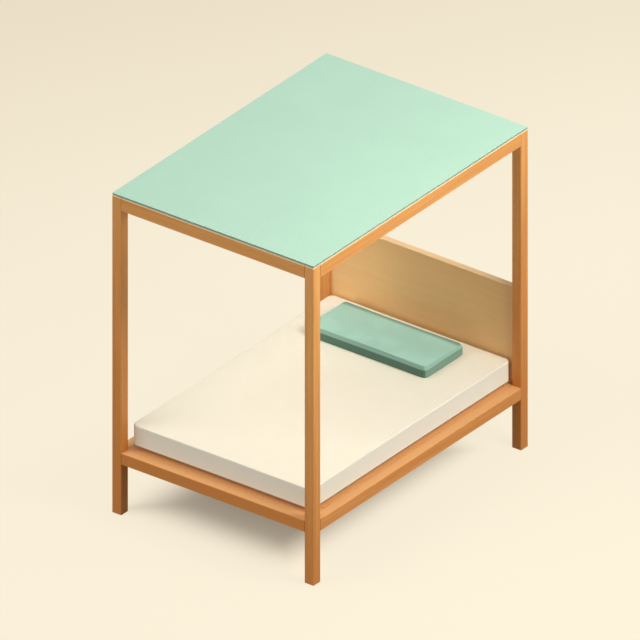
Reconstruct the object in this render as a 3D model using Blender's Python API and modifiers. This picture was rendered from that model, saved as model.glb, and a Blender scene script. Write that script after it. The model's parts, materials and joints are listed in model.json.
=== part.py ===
"""Canopy bed of square timber, with a slatted deck, a cloth canopy, a mattress and a pillow.

Metres, +Z up. The origin is on the floor under the middle of the bed, +Y runs towards the head
and +X towards the right-hand side as seen from the foot.
"""
import math

import bmesh
import bpy
from mathutils import Matrix
from mathutils import Vector

# Mattress, which the frame is built round
MATTRESS_LENGTH = 2.018
MATTRESS_WIDTH = 1.364
MATTRESS_HEIGHT = 0.147
MATTRESS_CORNER = 0.050
MATTRESS_EDGE = 0.020
MATTRESS_CROWN = 0.003
MATTRESS_WAIST = 0.003
SIDE_ROOM = 0.0115
FOOT_ROOM = 0.0165
HEAD_ROOM = 0.016

# Pillow
PILLOW_WIDTH = 0.922
PILLOW_DEPTH = 0.406
PILLOW_HEIGHT = 0.076
PILLOW_SIDE = 0.044
PILLOW_CORNER = 0.042
PILLOW_CROWN = 0.020
PILLOW_WAIST = 0.005
PILLOW_FROM_HEAD = 0.106
PILLOW_OFF_CENTRE = -0.0415

# Posts and rails, all cut from timber of one width, with a chamfer round the outside of the top
TIMBER_SIDE = 0.070
POST_TOP = 2.210
RAIL_TOP = 0.434
RAIL_HEIGHT = 0.080
CANOPY_RAIL_HEIGHT = 0.094
ARRIS = 0.003
TOP_CHAMFER = 0.009

# Tenons stop short of each other inside the post
TENON_THICKNESS = 0.020
TENON_SHOULDER = 0.010
TENON_WEB = 0.003

# Headboard, tongued into the head posts
HEADBOARD_THICKNESS = 0.045
HEADBOARD_TOP = 1.103
HEADBOARD_EDGE = 0.004
HEADBOARD_SETBACK = 0.001
TONGUE_THICKNESS = 0.015
TONGUE_LENGTH = 0.012
TONGUE_STOP = 0.030

# Ledge boards and slats
LEDGE_WIDTH = 0.090
LEDGE_THICKNESS = 0.030
SLAT_COUNT = 12
SLAT_WIDTH = 0.090
SLAT_THICKNESS = 0.025
SLAT_BEARING = 0.036
SLAT_FROM_RAIL = 0.062
SLAT_EDGE = 0.004

# Centre beam and its legs
BEAM_WIDTH = 0.045
BEAM_LIFT = 0.008
BEAM_TENON_LENGTH = 0.018
BEAM_TENON_THICKNESS = 0.020
BEAM_TENON_SHOULDER = 0.006
LEG_SIDE = 0.045
LEG_SPACING = 0.900
SPIGOT_RADIUS = 0.010
SPIGOT_LENGTH = 0.020

# Glides under posts and legs
GLIDE_THICKNESS = 0.003
GLIDE_RADIUS = 0.020
GLIDE_STEM_RADIUS = 0.005
GLIDE_STEM_LENGTH = 0.024
GLIDE_CHAMFER = 0.0008

# Hanger bolts and flange nuts of the side rails
BOLT_RADIUS = 0.004
BOLT_IN_POST = 0.045
BOLT_IN_RAIL = 0.045
BOLT_TAIL = 0.016
NUT_ACROSS_FLATS = 0.013
NUT_HEIGHT = 0.008
FLANGE_RADIUS = 0.009
FLANGE_THICKNESS = 0.0025
POCKET_LENGTH = 0.040
POCKET_ROOM = 0.004

# Canopy: cloth stretched over a lapped batten frame
CANOPY_THICKNESS = 0.012
CANOPY_SETBACK = 0.001
CLOTH_THICKNESS = 0.0015
CLOTH_EDGE = 0.003
BATTEN_WIDTH = 0.045
CROSS_BAR_COUNT = 2
CROSS_BAR_WIDTH = 0.045
CROSS_BAR_DROP = 0.001
PIN_RADIUS = 0.005
PIN_IN_POST = 0.025
PIN_COVER = 0.001

# Clearance between touching pieces, overrun of cutters, and facets of round pieces and edges
FIT = 0.0003
OVERRUN = 0.005
ROUND_SIDES = 16
ROUND_EDGE_SEGMENTS = 3
CUSHION_LEVELS = 2

# Places worked out from the sizes above
INNER_X = MATTRESS_WIDTH / 2 + SIDE_ROOM
OUTER_X = INNER_X + TIMBER_SIDE
HEADBOARD_DEPTH = HEAD_ROOM + HEADBOARD_THICKNESS + HEADBOARD_SETBACK
OUTER_Y = (TIMBER_SIDE + FOOT_ROOM + MATTRESS_LENGTH + HEADBOARD_DEPTH) / 2
INNER_Y = OUTER_Y - TIMBER_SIDE
POST_BOTTOM = GLIDE_THICKNESS + FIT
RAIL_BOTTOM = RAIL_TOP - RAIL_HEIGHT
LEDGE_BOTTOM = RAIL_TOP - LEDGE_THICKNESS
CANOPY_RAIL_BOTTOM = POST_TOP - CANOPY_RAIL_HEIGHT
TENON_LENGTH = (TIMBER_SIDE - TENON_THICKNESS) / 2 - TENON_WEB
HEADBOARD_BACK = OUTER_Y - HEADBOARD_SETBACK
HEADBOARD_FRONT = HEADBOARD_BACK - HEADBOARD_THICKNESS
SLAT_BOTTOM = RAIL_TOP + FIT
MATTRESS_BOTTOM = SLAT_BOTTOM + SLAT_THICKNESS + FIT
MATTRESS_TOP = MATTRESS_BOTTOM + MATTRESS_HEIGHT
MATTRESS_FOOT_Y = -INNER_Y + FOOT_ROOM
MATTRESS_HEAD_Y = MATTRESS_FOOT_Y + MATTRESS_LENGTH
BEAM_BOTTOM = RAIL_BOTTOM + BEAM_LIFT
BOLT_Z = (RAIL_BOTTOM + LEDGE_BOTTOM) / 2
CLOTH_TOP = POST_TOP + CANOPY_THICKNESS
CLOTH_X = OUTER_X - CANOPY_SETBACK
CLOTH_Y = OUTER_Y - CANOPY_SETBACK
BATTEN_X = CLOTH_X - CLOTH_THICKNESS - FIT
BATTEN_Y = CLOTH_Y - CLOTH_THICKNESS - FIT
BATTEN_BOTTOM = POST_TOP + FIT
BATTEN_TOP = CLOTH_TOP - CLOTH_THICKNESS - FIT
LAP_Z = (BATTEN_BOTTOM + BATTEN_TOP) / 2
LAP_GAP = FIT / 2

SIDES = {"left": -1, "right": 1}
ENDS = {"foot": -1, "head": 1}


def display_colour(red, green, blue):
    """Linear colour of an 8-bit display colour."""
    shares = [value / 255 for value in (red, green, blue)]
    return [((share + 0.055) / 1.055) ** 2.4 for share in shares] + [1.0]


# Colour, roughness and metallic value of each finish
FINISHES = {
    "oiled timber": (display_colour(222, 153, 92), 0.55, 0.0),
    "pale timber": (display_colour(222, 179, 117), 0.55, 0.0),
    "slat timber": (display_colour(228, 196, 150), 0.65, 0.0),
    "mint cloth": (display_colour(187, 225, 201), 0.90, 0.0),
    "pillow cloth": (display_colour(164, 198, 175), 0.90, 0.0),
    "cream ticking": (display_colour(249, 237, 213), 0.92, 0.0),
    "zinced steel": (display_colour(176, 178, 180), 0.35, 0.9),
    "grey felt": (display_colour(96, 92, 86), 0.95, 0.0),
}


def clear_scene():
    for obj in list(bpy.data.objects):
        bpy.data.objects.remove(obj, do_unlink=True)


def new_collection(name):
    collection = bpy.data.collections.new(name)
    bpy.context.scene.collection.children.link(collection)
    return collection


clear_scene()
PIECES = new_collection("canopy_bed")
CUTTERS = new_collection("canopy_bed_cutters")


def new_empty(name, location, parent=None):
    empty = bpy.data.objects.new(name, None)
    empty.location = location
    empty.parent = parent
    PIECES.objects.link(empty)
    return empty


FRAME = new_empty("bed_frame", (0, 0, 0))


def add_object(name, bm, location, collection):
    mesh = bpy.data.meshes.new(name)
    bm.to_mesh(mesh)
    bm.free()
    obj = bpy.data.objects.new(name, mesh)
    obj.location = location
    collection.objects.link(obj)
    return obj


def finish_piece(obj, finish, parent):
    """Give a piece a material of its own in the named finish, and hang it on its parent."""
    colour, roughness, metallic = FINISHES[finish]
    material = bpy.data.materials.new(obj.name)
    material.use_nodes = True
    shader = material.node_tree.nodes["Principled BSDF"]
    shader.inputs["Base Color"].default_value = colour
    shader.inputs["Roughness"].default_value = roughness
    shader.inputs["Metallic"].default_value = metallic
    obj.data.materials.append(material)
    obj.parent = parent
    obj.matrix_parent_inverse = Matrix.Translation(-parent.location)
    return obj


def make_cutter(obj):
    obj.hide_render = True
    obj.display_type = "WIRE"
    return obj


def box_mesh(spans):
    """Closed box between the ends of an x, a y and a z span, about its own middle."""
    lows = Vector([min(span) for span in spans])
    highs = Vector([max(span) for span in spans])
    bm = bmesh.new()
    bmesh.ops.create_cube(bm, size=1.0)
    bmesh.ops.scale(bm, vec=highs - lows, verts=bm.verts)
    return bm, (lows + highs) / 2


def box_cutter(name, spans):
    bm, middle = box_mesh(spans)
    return make_cutter(add_object(name, bm, middle, CUTTERS))


def tops_face(edge, way):
    """Whether an edge of a box about its own middle is the top edge of the face that points that way."""
    return all(vert.co.z > 0 and vert.co.dot(Vector(way)) > 0 for vert in edge.verts)


def weigh_edges(bm, grain, share, chamfered):
    """Mark edges for easing: a share of the width along the grain, all of it on top of chamfered faces."""
    weight = bm.edges.layers.float.new("bevel_weight_edge")
    for edge in bm.edges:
        run = (edge.verts[1].co - edge.verts[0].co).normalized()
        edge[weight] = share if grain is None or abs(run[grain]) > 0.5 else 0.0
        if any(tops_face(edge, way) for way in chamfered):
            edge[weight] = 1.0


def round_marked_edges(obj, width, segments):
    modifier = obj.modifiers.new("edges", "BEVEL")
    modifier.limit_method = "WEIGHT"
    modifier.width = width
    modifier.segments = segments


def timber(name, spans, grain, finish="oiled timber", edge=ARRIS, segments=1, chamfered=()):
    """Sawn piece whose edges along the grain (0 x, 1 y, 2 z, None all) are eased.

    Faces that point along one of the chamfered ways have the top chamfer on their top edge.
    """
    bm, middle = box_mesh(spans)
    width = TOP_CHAMFER if chamfered else edge
    weigh_edges(bm, grain, edge / width, chamfered)
    obj = add_object(name, bm, middle, PIECES)
    round_marked_edges(obj, width, segments)
    return finish_piece(obj, finish, FRAME)


def rod_mesh(radius, length, sides=ROUND_SIDES):
    bm = bmesh.new()
    bmesh.ops.create_cone(bm, cap_ends=True, segments=sides, radius1=radius, radius2=radius, depth=length)
    return bm


def rod(name, start, end, radius, collection, sides=ROUND_SIDES):
    """Round bar from one point to another."""
    start = Vector(start)
    run = Vector(end) - start
    obj = add_object(name, rod_mesh(radius, run.length, sides), start + run / 2, collection)
    obj.rotation_mode = "QUATERNION"
    obj.rotation_quaternion = run.to_track_quat("Z", "Y")
    return obj


def rod_cutter(name, start, end, radius):
    return make_cutter(rod(name, start, end, radius, CUTTERS))


def combine(obj, other, operation):
    modifier = obj.modifiers.new(other.name, "BOOLEAN")
    modifier.operation = operation
    modifier.solver = "EXACT"
    modifier.object = other


def cut(obj, cutter):
    combine(obj, cutter, "DIFFERENCE")


def shade_round(obj, sharp_angle=40):
    obj.data.shade_smooth()
    obj.data.set_sharp_from_angle(angle=math.radians(sharp_angle))
    return obj


def ordered(along, run, across, height):
    """Spans in x, y, z order of a piece that runs along axis 0 or 1."""
    return (run, across, height) if along == 0 else (across, run, height)


def grown(span, room):
    return (min(span) - room, max(span) + room)


def tenon_joint(rail, post, along, face, outward, across, height, open_top=False):
    """Stub tenon on a rail's end and the mortise for it in the post whose face it meets."""
    start = face - outward * OVERRUN
    reach = face + outward * TENON_LENGTH
    width = (across - TENON_THICKNESS / 2, across + TENON_THICKNESS / 2)
    tenon = box_cutter(f"{rail.name}_tenon_{post.name}", ordered(along, (start, reach), width, height))
    combine(rail, tenon, "UNION")
    low, high = grown(height, FIT)
    hollow = (low, POST_TOP + OVERRUN) if open_top else (low, high)
    spans = ordered(along, (start, reach + outward * FIT), grown(width, FIT), hollow)
    cut(post, box_cutter(f"{post.name}_mortise_{rail.name}", spans))


def make_posts():
    posts = {}
    for end, y in ENDS.items():
        for side, x in SIDES.items():
            spans = (x * INNER_X, x * OUTER_X), (y * INNER_Y, y * OUTER_Y), (POST_BOTTOM, POST_TOP)
            outward = (x, 0, 0), (0, y, 0)
            posts[end, side] = timber(f"post_{end}_{side}", spans, 2, chamfered=outward)
    return posts


def make_rails(prefix, posts, bottom, top, upper):
    """Two side rails and two end rails between the posts, tenoned into them.

    The upper set's side rails drop into slots, and its outer top edges carry on the posts' chamfer.
    """
    height = (bottom, top)
    tenon = (bottom + TENON_SHOULDER, top - TENON_SHOULDER)
    rails = {}
    for side, x in SIDES.items():
        run = (-INNER_Y + FIT, INNER_Y - FIT)
        outward = [(x, 0, 0)] if upper else []
        rail = timber(f"{prefix}_{side}", ((x * INNER_X, x * OUTER_X), run, height), 1, chamfered=outward)
        for end, y in ENDS.items():
            middle = x * (INNER_X + TIMBER_SIDE / 2)
            tenon_joint(rail, posts[end, side], 1, y * INNER_Y, y, middle, tenon, upper)
        rails[side] = rail
    for end, y in ENDS.items():
        run = (-INNER_X + FIT, INNER_X - FIT)
        outward = [(0, y, 0)] if upper else []
        rail = timber(f"{prefix}_{end}", (run, (y * INNER_Y, y * OUTER_Y), height), 0, chamfered=outward)
        for side, x in SIDES.items():
            middle = y * (INNER_Y + TIMBER_SIDE / 2)
            tenon_joint(rail, posts[end, side], 0, x * INNER_X, x, middle, tenon)
        rails[end] = rail
    return rails


def make_headboard(posts):
    depth = (HEADBOARD_FRONT, HEADBOARD_BACK)
    height = (RAIL_TOP + FIT, HEADBOARD_TOP)
    spans = ((-INNER_X + FIT, INNER_X - FIT), depth, height)
    board = timber("headboard", spans, 0, "pale timber", HEADBOARD_EDGE, ROUND_EDGE_SEGMENTS)
    middle = (HEADBOARD_FRONT + HEADBOARD_BACK) / 2
    width = (middle - TONGUE_THICKNESS / 2, middle + TONGUE_THICKNESS / 2)
    rise = (RAIL_TOP + HEADBOARD_EDGE + FIT, HEADBOARD_TOP - TONGUE_STOP)
    for side, x in SIDES.items():
        reach = x * (INNER_X + TONGUE_LENGTH)
        start = x * (INNER_X - OVERRUN)
        combine(board, box_cutter(f"headboard_tongue_{side}", ((start, reach), width, rise)), "UNION")
        spans = ((start, reach + x * FIT), grown(width, FIT), grown(rise, FIT))
        cut(posts["head", side], box_cutter(f"headboard_groove_{side}", spans))


def make_ledges():
    height = (LEDGE_BOTTOM, RAIL_TOP)
    for end, y in ENDS.items():
        depth = (y * (INNER_Y - FIT), y * (INNER_Y - LEDGE_WIDTH))
        timber(f"ledge_{end}", ((-INNER_X + FIT, INNER_X - FIT), depth, height), 0, edge=ARRIS / 2)
    run = INNER_Y - LEDGE_WIDTH - FIT
    for side, x in SIDES.items():
        width = (x * (INNER_X - FIT), x * (INNER_X - LEDGE_WIDTH))
        timber(f"ledge_{side}", (width, (-run, run), height), 1, edge=ARRIS / 2)


def make_slats():
    reach = INNER_X - LEDGE_WIDTH + SLAT_BEARING
    height = (SLAT_BOTTOM, SLAT_BOTTOM + SLAT_THICKNESS)
    first = -INNER_Y + SLAT_FROM_RAIL + SLAT_WIDTH / 2
    pitch = -2 * first / (SLAT_COUNT - 1)
    for number in range(SLAT_COUNT):
        middle = first + number * pitch
        depth = (middle - SLAT_WIDTH / 2, middle + SLAT_WIDTH / 2)
        spans = ((-reach, reach), depth, height)
        timber(f"slat_{number + 1:02d}", spans, 0, "slat timber", SLAT_EDGE, ROUND_EDGE_SEGMENTS)


def make_centre_beam(rails):
    """Beam under the slats, lapped under the end ledges and tenoned into the end rails."""
    width = (-BEAM_WIDTH / 2, BEAM_WIDTH / 2)
    spans = (width, (-INNER_Y + FIT, INNER_Y - FIT), (BEAM_BOTTOM, RAIL_TOP))
    beam = timber("centre_beam", spans, 1, "slat timber")
    thickness = (-BEAM_TENON_THICKNESS / 2, BEAM_TENON_THICKNESS / 2)
    height = (BEAM_BOTTOM + BEAM_TENON_SHOULDER, LEDGE_BOTTOM - BEAM_TENON_SHOULDER)
    for end, y in ENDS.items():
        lap_run = (y * (INNER_Y + OVERRUN), y * (INNER_Y - LEDGE_WIDTH - FIT))
        lap = (grown(width, OVERRUN), lap_run, (LEDGE_BOTTOM - FIT, RAIL_TOP + OVERRUN))
        cut(beam, box_cutter(f"beam_lap_{end}", lap))
        start = y * (INNER_Y - OVERRUN)
        reach = y * (INNER_Y + BEAM_TENON_LENGTH)
        tenon = box_cutter(f"beam_tenon_{end}", (thickness, (start, reach), height))
        combine(beam, tenon, "UNION")
        spans = (grown(thickness, FIT), (start, reach + y * FIT), grown(height, FIT))
        cut(rails[end], box_cutter(f"beam_mortise_{end}", spans))
    return beam


def glide(name, x, y):
    """Turned felt-faced glide: a disc on the floor and a stem in the timber above."""
    outline = [
        (0.0, GLIDE_THICKNESS + GLIDE_STEM_LENGTH),
        (GLIDE_STEM_RADIUS, GLIDE_THICKNESS + GLIDE_STEM_LENGTH),
        (GLIDE_STEM_RADIUS, GLIDE_THICKNESS),
        (GLIDE_RADIUS, GLIDE_THICKNESS),
        (GLIDE_RADIUS, GLIDE_CHAMFER),
        (GLIDE_RADIUS - GLIDE_CHAMFER, 0.0),
        (0.0, 0.0),
    ]
    bm = bmesh.new()
    corners = [bm.verts.new((radius, 0.0, z)) for radius, z in outline]
    for above, below in zip(corners, corners[1:]):
        bm.edges.new((above, below))
    obj = add_object(name, bm, (x, y, 0.0), PIECES)
    turn = obj.modifiers.new("turn", "SCREW")
    turn.axis = "Z"
    turn.steps = ROUND_SIDES
    turn.render_steps = ROUND_SIDES
    turn.use_merge_vertices = True
    turn.merge_threshold = 0.0001
    return finish_piece(obj, "grey felt", FRAME)


def add_glide(name, foot, x, y):
    glide(name, x, y)
    top = GLIDE_THICKNESS + GLIDE_STEM_LENGTH + FIT
    cut(foot, rod_cutter(f"{name}_hole", (x, y, -OVERRUN), (x, y, top), GLIDE_STEM_RADIUS + FIT))


def make_centre_legs(beam):
    for number, y in enumerate((-LEG_SPACING / 2, LEG_SPACING / 2), start=1):
        width = (-LEG_SIDE / 2, LEG_SIDE / 2)
        top = BEAM_BOTTOM - FIT
        spans = (width, (y + width[0], y + width[1]), (POST_BOTTOM, top))
        leg = timber(f"centre_leg_{number}", spans, 2, "slat timber")
        reach = BEAM_BOTTOM + SPIGOT_LENGTH
        spigot = rod_cutter(f"spigot_{number}", (0, y, top - OVERRUN), (0, y, reach), SPIGOT_RADIUS)
        combine(leg, spigot, "UNION")
        socket_ends = (0, y, BEAM_BOTTOM - OVERRUN), (0, y, reach + FIT)
        cut(beam, rod_cutter(f"spigot_socket_{number}", *socket_ends, SPIGOT_RADIUS + FIT))
        add_glide(f"glide_centre_{number}", leg, 0.0, y)


def make_post_glides(posts):
    for (end, side), post in posts.items():
        x = SIDES[side] * (INNER_X + TIMBER_SIDE / 2)
        y = ENDS[end] * (INNER_Y + TIMBER_SIDE / 2)
        add_glide(f"glide_{end}_{side}", post, x, y)


def flange_nut(name, x, seat, inward):
    """Hexagon nut on its round flange, bored for the bolt; inward points away from the post."""
    def along(distance):
        return (x, seat + inward * distance, BOLT_Z)

    corner_radius = NUT_ACROSS_FLATS / math.sqrt(3)
    nut = rod(name, along(FIT), along(FIT + NUT_HEIGHT), corner_radius, PIECES, sides=6)
    flange = rod_cutter(f"{name}_flange", along(FIT), along(FIT + FLANGE_THICKNESS), FLANGE_RADIUS)
    combine(nut, flange, "UNION")
    bore = rod_cutter(f"{name}_bore", along(-OVERRUN), along(NUT_HEIGHT + OVERRUN), BOLT_RADIUS + FIT)
    cut(nut, bore)
    return finish_piece(nut, "zinced steel", FRAME)


def make_rail_bolts(posts, rails):
    """Hanger bolts in the posts, drawn up by nuts in pockets on the side rails' inner faces."""
    for (end, side), post in posts.items():
        x = SIDES[side] * (INNER_X + TIMBER_SIDE / 2)
        inward = -ENDS[end]
        face = ENDS[end] * INNER_Y
        seat = face + inward * BOLT_IN_RAIL
        tip = face - inward * BOLT_IN_POST
        tail = seat + inward * BOLT_TAIL
        bolt = rod(f"rail_bolt_{end}_{side}", (x, tip, BOLT_Z), (x, tail, BOLT_Z), BOLT_RADIUS, PIECES)
        finish_piece(shade_round(bolt), "zinced steel", FRAME)
        hole_ends = (x, tip - inward * FIT, BOLT_Z), (x, seat + inward * OVERRUN, BOLT_Z)
        hole = rod_cutter(f"bolt_hole_{end}_{side}", *hole_ends, BOLT_RADIUS + FIT)
        cut(post, hole)
        cut(rails[side], hole)
        half = FLANGE_RADIUS + POCKET_ROOM
        depth = (SIDES[side] * (INNER_X - OVERRUN), x + SIDES[side] * half)
        far = seat + inward * POCKET_LENGTH
        pocket = (depth, (seat, far), (BOLT_Z - half, BOLT_Z + half))
        cut(rails[side], box_cutter(f"nut_pocket_{end}_{side}", pocket))
        round_ends = (depth[0], far, BOLT_Z), (depth[1], far, BOLT_Z)
        cut(rails[side], rod_cutter(f"nut_pocket_round_{end}_{side}", *round_ends, half))
        flange_nut(f"rail_nut_{end}_{side}", x, seat, inward)


def lap(over, under, name, width, depth):
    """Half-lap where one batten crosses another: the upper half of one, the lower half of the other."""
    spans = grown(width, FIT), grown(depth, FIT)
    cut(under, box_cutter(f"{name}_under", (*spans, (LAP_Z - LAP_GAP, BATTEN_TOP + OVERRUN))))
    cut(over, box_cutter(f"{name}_over", (*spans, (BATTEN_BOTTOM - OVERRUN, LAP_Z + LAP_GAP))))


def make_canopy_frame(posts):
    height = (BATTEN_BOTTOM, BATTEN_TOP)
    long_width = {side: (x * BATTEN_X, x * (BATTEN_X - BATTEN_WIDTH)) for side, x in SIDES.items()}
    battens = {}
    for side in SIDES:
        spans = (long_width[side], (-BATTEN_Y, BATTEN_Y), height)
        battens[side] = timber(f"batten_{side}", spans, None, "slat timber")
    for end, y in ENDS.items():
        depth = (y * BATTEN_Y, y * (BATTEN_Y - BATTEN_WIDTH))
        battens[end] = timber(f"batten_{end}", ((-BATTEN_X, BATTEN_X), depth, height), None, "slat timber")
        for side in SIDES:
            lap(battens[end], battens[side], f"lap_{end}_{side}", long_width[side], depth)
    spacing = 2 * BATTEN_Y / (CROSS_BAR_COUNT + 1)
    reach = BATTEN_X - BATTEN_WIDTH / 2
    for number in range(1, CROSS_BAR_COUNT + 1):
        middle = -BATTEN_Y + number * spacing
        depth = (middle - CROSS_BAR_WIDTH / 2, middle + CROSS_BAR_WIDTH / 2)
        spans = ((-reach + FIT, reach - FIT), depth, (BATTEN_BOTTOM, BATTEN_TOP - CROSS_BAR_DROP))
        bar = timber(f"cross_bar_{number}", spans, 0, "slat timber")
        for side, x in SIDES.items():
            width = (x * reach, x * (BATTEN_X - BATTEN_WIDTH))
            lap(bar, battens[side], f"bar_lap_{number}_{side}", width, depth)
    make_pins(posts, battens)


def make_pins(posts, battens):
    """Pins through the corner laps of the canopy frame into the post tops."""
    for (end, side), post in posts.items():
        x = SIDES[side] * (BATTEN_X - BATTEN_WIDTH / 2)
        y = ENDS[end] * (BATTEN_Y - BATTEN_WIDTH / 2)
        bottom = POST_TOP - PIN_IN_POST
        top = BATTEN_TOP - PIN_COVER
        pin = rod(f"canopy_pin_{end}_{side}", (x, y, bottom), (x, y, top), PIN_RADIUS, PIECES)
        finish_piece(shade_round(pin), "slat timber", FRAME)
        hole_ends = (x, y, bottom - FIT), (x, y, BATTEN_TOP + OVERRUN)
        hole = rod_cutter(f"canopy_pin_hole_{end}_{side}", *hole_ends, PIN_RADIUS + FIT)
        for piece in (post, battens[end], battens[side]):
            cut(piece, hole)


def make_canopy_cloth():
    """Cloth drawn over the battens: a tray without a floor, turned down over their outer edges."""
    bm, middle = box_mesh(((-CLOTH_X, CLOTH_X), (-CLOTH_Y, CLOTH_Y), (POST_TOP + FIT, CLOTH_TOP)))
    floor = [face for face in bm.faces if face.normal.z < -0.5]
    bmesh.ops.delete(bm, geom=floor, context="FACES_ONLY")
    weight = bm.edges.layers.float.new("bevel_weight_edge")
    for edge in bm.edges:
        edge[weight] = 1.0 if all(vert.co.z > 0 for vert in edge.verts) else 0.0
    cloth = add_object("canopy_cloth", bm, middle, PIECES)
    round_marked_edges(cloth, CLOTH_EDGE, ROUND_EDGE_SEGMENTS)
    wall = cloth.modifiers.new("cloth", "SOLIDIFY")
    wall.thickness = CLOTH_THICKNESS
    wall.offset = -1.0
    wall.use_even_offset = True
    finish_piece(shade_round(cloth, sharp_angle=60), "mint cloth", FRAME)


def cushion_cage(size, cuts):
    """Box on its own base, cut into a cage at the given x, y and z places."""
    bm = bmesh.new()
    bmesh.ops.create_cube(bm, size=1.0, matrix=Matrix.Translation((0.0, 0.0, 0.5)))
    bmesh.ops.scale(bm, vec=size, verts=bm.verts)
    for axis, places in enumerate(cuts):
        normal = [0.0, 0.0, 0.0]
        normal[axis] = 1.0
        for place in places:
            point = [place * part for part in normal]
            geometry = bm.verts[:] + bm.edges[:] + bm.faces[:]
            bmesh.ops.bisect_plane(bm, geom=geometry, plane_co=point, plane_no=normal)
    return bm


def shape_cushion(bm, size, crown, waist):
    """Lower the rim by the crown, and draw the sides in midway between the corners."""
    half = [size[0] / 2, size[1] / 2]
    for vert in bm.verts:
        on_side = [abs(vert.co[axis]) > half[axis] - FIT for axis in (0, 1)]
        midway = [abs(vert.co[axis]) < FIT for axis in (0, 1)]
        if any(on_side) and vert.co.z > size[2] - FIT:
            vert.co.z -= crown
        for axis in (0, 1):
            if on_side[axis] and midway[1 - axis] and vert.co.z > FIT:
                vert.co[axis] -= math.copysign(waist, vert.co[axis])


def add_cushion(name, bm, location, finish, parent):
    obj = add_object(name, bm, location, PIECES)
    obj.data.shade_smooth()
    swell = obj.modifiers.new("swell", "SUBSURF")
    swell.levels = CUSHION_LEVELS
    swell.render_levels = CUSHION_LEVELS
    return finish_piece(obj, finish, parent)


def make_mattress(parent):
    size = (MATTRESS_WIDTH, MATTRESS_LENGTH, MATTRESS_HEIGHT)
    inset_x = MATTRESS_WIDTH / 2 - MATTRESS_CORNER
    inset_y = MATTRESS_LENGTH / 2 - MATTRESS_CORNER
    rows = (MATTRESS_EDGE, MATTRESS_HEIGHT - MATTRESS_EDGE)
    bm = cushion_cage(size, ((-inset_x, inset_x), (-inset_y, 0.0, inset_y), rows))
    shape_cushion(bm, size, MATTRESS_CROWN, MATTRESS_WAIST)
    add_cushion("mattress", bm, parent.location, "cream ticking", parent)


def make_pillow(parent):
    size = (PILLOW_WIDTH, PILLOW_DEPTH, PILLOW_HEIGHT)
    inset_x = PILLOW_WIDTH / 2 - PILLOW_CORNER
    inset_y = PILLOW_DEPTH / 2 - PILLOW_CORNER
    bm = cushion_cage(size, ((-inset_x, 0.0, inset_x), (-inset_y, 0.0, inset_y), (PILLOW_SIDE,)))
    shape_cushion(bm, size, PILLOW_CROWN, PILLOW_WAIST)
    bm.normal_update()
    crease = bm.edges.layers.float.new("crease_edge")
    for edge in bm.edges:
        downward = [face.normal.z < -0.5 for face in edge.link_faces]
        on_base_rim = any(downward) and not all(downward)
        edge[crease] = 1.0 if on_base_rim else 0.0
    add_cushion("pillow", bm, parent.location, "pillow cloth", parent)


def main():
    posts = make_posts()
    rails = make_rails("rail", posts, RAIL_BOTTOM, RAIL_TOP, False)
    make_rails("canopy_rail", posts, CANOPY_RAIL_BOTTOM, POST_TOP, True)
    make_headboard(posts)
    make_ledges()
    make_slats()
    beam = make_centre_beam(rails)
    make_centre_legs(beam)
    make_post_glides(posts)
    make_rail_bolts(posts, rails)
    make_canopy_frame(posts)
    make_canopy_cloth()
    mattress_y = (MATTRESS_FOOT_Y + MATTRESS_HEAD_Y) / 2
    mattress_seat = new_empty("mattress_seat", (0.0, mattress_y, MATTRESS_BOTTOM))
    make_mattress(mattress_seat)
    pillow_y = MATTRESS_HEAD_Y - PILLOW_FROM_HEAD - PILLOW_DEPTH / 2
    pillow_seat = new_empty("pillow_seat", (PILLOW_OFF_CENTRE, pillow_y, MATTRESS_TOP + FIT))
    make_pillow(pillow_seat)


main()
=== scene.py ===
import json
import math

import bpy
import numpy as np
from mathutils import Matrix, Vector


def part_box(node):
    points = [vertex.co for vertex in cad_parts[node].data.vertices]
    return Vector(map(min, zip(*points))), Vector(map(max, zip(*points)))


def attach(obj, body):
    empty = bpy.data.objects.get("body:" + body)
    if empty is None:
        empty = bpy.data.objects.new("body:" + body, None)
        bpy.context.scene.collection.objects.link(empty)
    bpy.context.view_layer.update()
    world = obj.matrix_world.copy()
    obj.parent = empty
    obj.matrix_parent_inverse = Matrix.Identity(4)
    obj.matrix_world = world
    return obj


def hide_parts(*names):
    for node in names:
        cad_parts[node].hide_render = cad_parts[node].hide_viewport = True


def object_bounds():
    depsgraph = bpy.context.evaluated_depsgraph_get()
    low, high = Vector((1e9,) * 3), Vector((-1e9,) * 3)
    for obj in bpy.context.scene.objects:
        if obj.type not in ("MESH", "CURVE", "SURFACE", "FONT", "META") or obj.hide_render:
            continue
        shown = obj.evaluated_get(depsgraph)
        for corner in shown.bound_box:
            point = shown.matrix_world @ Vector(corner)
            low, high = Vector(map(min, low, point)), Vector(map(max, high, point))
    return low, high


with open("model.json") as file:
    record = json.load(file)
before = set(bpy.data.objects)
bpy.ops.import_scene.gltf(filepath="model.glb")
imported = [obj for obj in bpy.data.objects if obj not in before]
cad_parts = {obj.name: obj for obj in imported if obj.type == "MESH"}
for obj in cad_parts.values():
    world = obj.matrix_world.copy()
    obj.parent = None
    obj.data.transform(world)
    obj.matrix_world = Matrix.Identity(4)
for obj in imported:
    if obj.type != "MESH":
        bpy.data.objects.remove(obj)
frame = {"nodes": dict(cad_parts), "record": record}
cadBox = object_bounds()  # the CAD model's box, before any piece is added
nodes = frame["nodes"]
subparts = frame["record"]["subparts"]
tiny = 1e-9  # keeps a division away from zero
near = 1e-6  # metres within which two places count as one
print("frame loaded:", len(nodes), "nodes")


def paint(red, green, blue):
    # linear colour of a colour given as it shows on a display, by the display's own curve
    shares = [value / 255 for value in (red, green, blue)]
    return tuple(((share + 0.055) / 1.055) ** 2.4 for share in shares) + (1.0,)


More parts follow.
